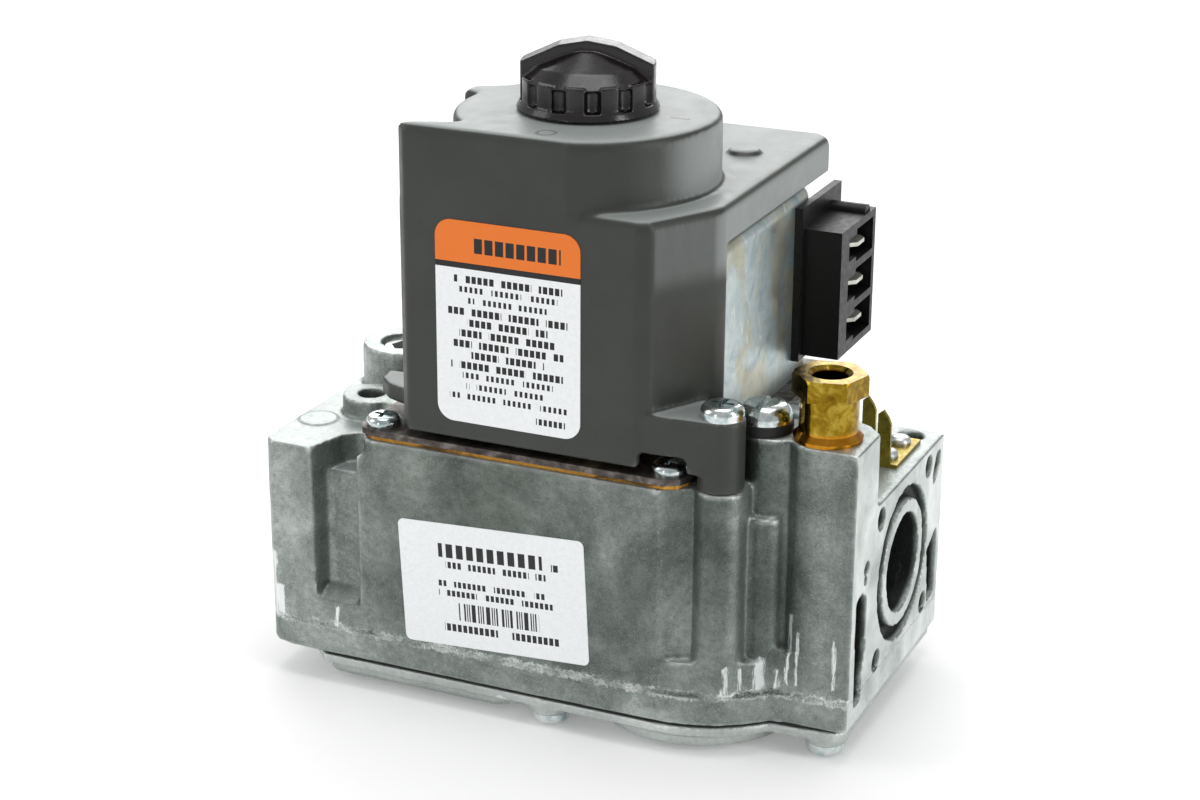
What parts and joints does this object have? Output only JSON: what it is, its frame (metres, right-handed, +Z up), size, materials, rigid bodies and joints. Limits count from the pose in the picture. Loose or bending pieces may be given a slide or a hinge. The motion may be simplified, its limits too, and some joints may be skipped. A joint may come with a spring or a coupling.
{
  "type": "gas control valve",
  "caption": "Cast gas valve block with pipe ports, bottom diaphragm cover, moulded operator cover, rotary shut-off knob, side connector, regulator cap and brass pilot fitting.",
  "frame": {"origin": "centre of the outlet port, on the outlet face", "axes": "+X out of the outlet along the pipe, +Y towards the back, +Z up through the knob"},
  "size_m": [0.1165, 0.082, 0.1268],
  "materials": {
    "cast_aluminium": "as-cast, dull",
    "zinc_steel": "zinc plated",
    "bright_screw": "bright zinc",
    "grey_plastic": "satin moulded",
    "black_plastic": "moulded",
    "knob_plastic": "glossy moulded",
    "brass": "machined",
    "rubber": "moulded",
    "fibre": "compressed fibre",
    "coil_wrap": "taped winding",
    "spring_steel": "drawn wire",
    "notice_paper": "printed film, orange header",
    "rating_paper": "printed film"
  },
  "bodies": {
    "valve": {"valve_body": "cast_aluminium", "bottom_cover": "cast_aluminium", "bottom_gasket": "rubber", "main_diaphragm": "rubber", "bottom_cover_screws": "bright_screw", "main_valve_spring": "spring_steel", "top_gasket": "fibre", "top_plate": "zinc_steel", "plate_screws": "bright_screw", "solenoid_frame": "zinc_steel", "coil_first": "coil_wrap", "coil_servo": "coil_wrap", "guide_tube_first": "zinc_steel", "guide_tube_servo": "zinc_steel", "plunger_spring_first": "spring_steel", "plunger_spring_servo": "spring_steel", "shaft_seal": "rubber", "operator_cover": "grey_plastic", "cover_screws": "bright_screw", "connector_housing": "black_plastic", "connector_blades": "bright_screw", "regulator_cap": "bright_screw", "regulator_cap_seal": "rubber", "regulator_spring": "spring_steel", "regulator_poppet": "rubber", "pilot_nut": "brass", "pilot_ferrule": "brass", "trim_cap": "bright_screw", "ground_terminal": "brass", "terminal_rivets": "bright_screw", "tap_plug": "brass", "inlet_screen": "zinc_steel", "notice_label": "notice_paper", "rating_label": "rating_paper"},
    "knob_set": {"knob": "knob_plastic", "knob_shaft": "zinc_steel", "rotor_disc": "black_plastic", "rotor_spring": "spring_steel"},
    "first_plunger": {"plunger_first": "zinc_steel", "valve_disc_first": "rubber"},
    "servo_plunger": {"plunger_servo": "zinc_steel", "valve_disc_servo": "rubber"},
    "main_valve": {"main_valve_stem": "zinc_steel", "main_valve_disc": "rubber"},
    "regulator_adjuster": {"regulator_screw": "black_plastic"},
    "regulator_seat": {"regulator_follower": "brass"},
    "pilot_trim": {"trim_screw": "brass"}
  },
  "joints": [
    {"name": "knob_turn", "type": "hinge", "parent": "valve", "child": "knob_set", "pos_m": [-0.059, -0.015, 0.0852], "axis": [0, 0, 1], "range_deg": [0, 90]},
    {"name": "first_valve_lift", "type": "slide", "parent": "valve", "child": "first_plunger", "axis": [0, 0, 1], "range_m": [0, 0.002], "stiffness_N_per_m": 400, "springref_m": -0.003, "deforming": ["plunger_spring_first"]},
    {"name": "servo_valve_lift", "type": "slide", "parent": "valve", "child": "servo_plunger", "axis": [0, 0, 1], "range_m": [0, 0.0014], "stiffness_N_per_m": 400, "springref_m": -0.003, "deforming": ["plunger_spring_servo"]},
    {"name": "main_valve_lift", "type": "slide", "parent": "valve", "child": "main_valve", "axis": [0, 0, 1], "range_m": [0, 0.003], "stiffness_N_per_m": 300, "springref_m": -0.004, "deforming": ["main_valve_spring", "main_diaphragm"]},
    {"name": "regulator_turn", "type": "hinge", "parent": "valve", "child": "regulator_adjuster", "pos_m": [-0.02, -0.0235, 0.027], "axis": [0, 0, 1], "range_deg": [-720, 720]},
    {"name": "regulator_seat_slide", "type": "slide", "parent": "valve", "child": "regulator_seat", "axis": [0, 0, 1], "range_m": [-0.0014, 0.0014], "deforming": ["regulator_spring"]},
    {"name": "pilot_trim_turn", "type": "hinge", "parent": "valve", "child": "pilot_trim", "pos_m": [-0.0164, -0.0114, 0.02], "axis": [0, 0, 1], "range_deg": [-360, 360]}
  ],
  "couplings": [
    {"joint": "regulator_turn", "follows": "regulator_seat_slide", "rad_per_m": 8976}
  ]
}
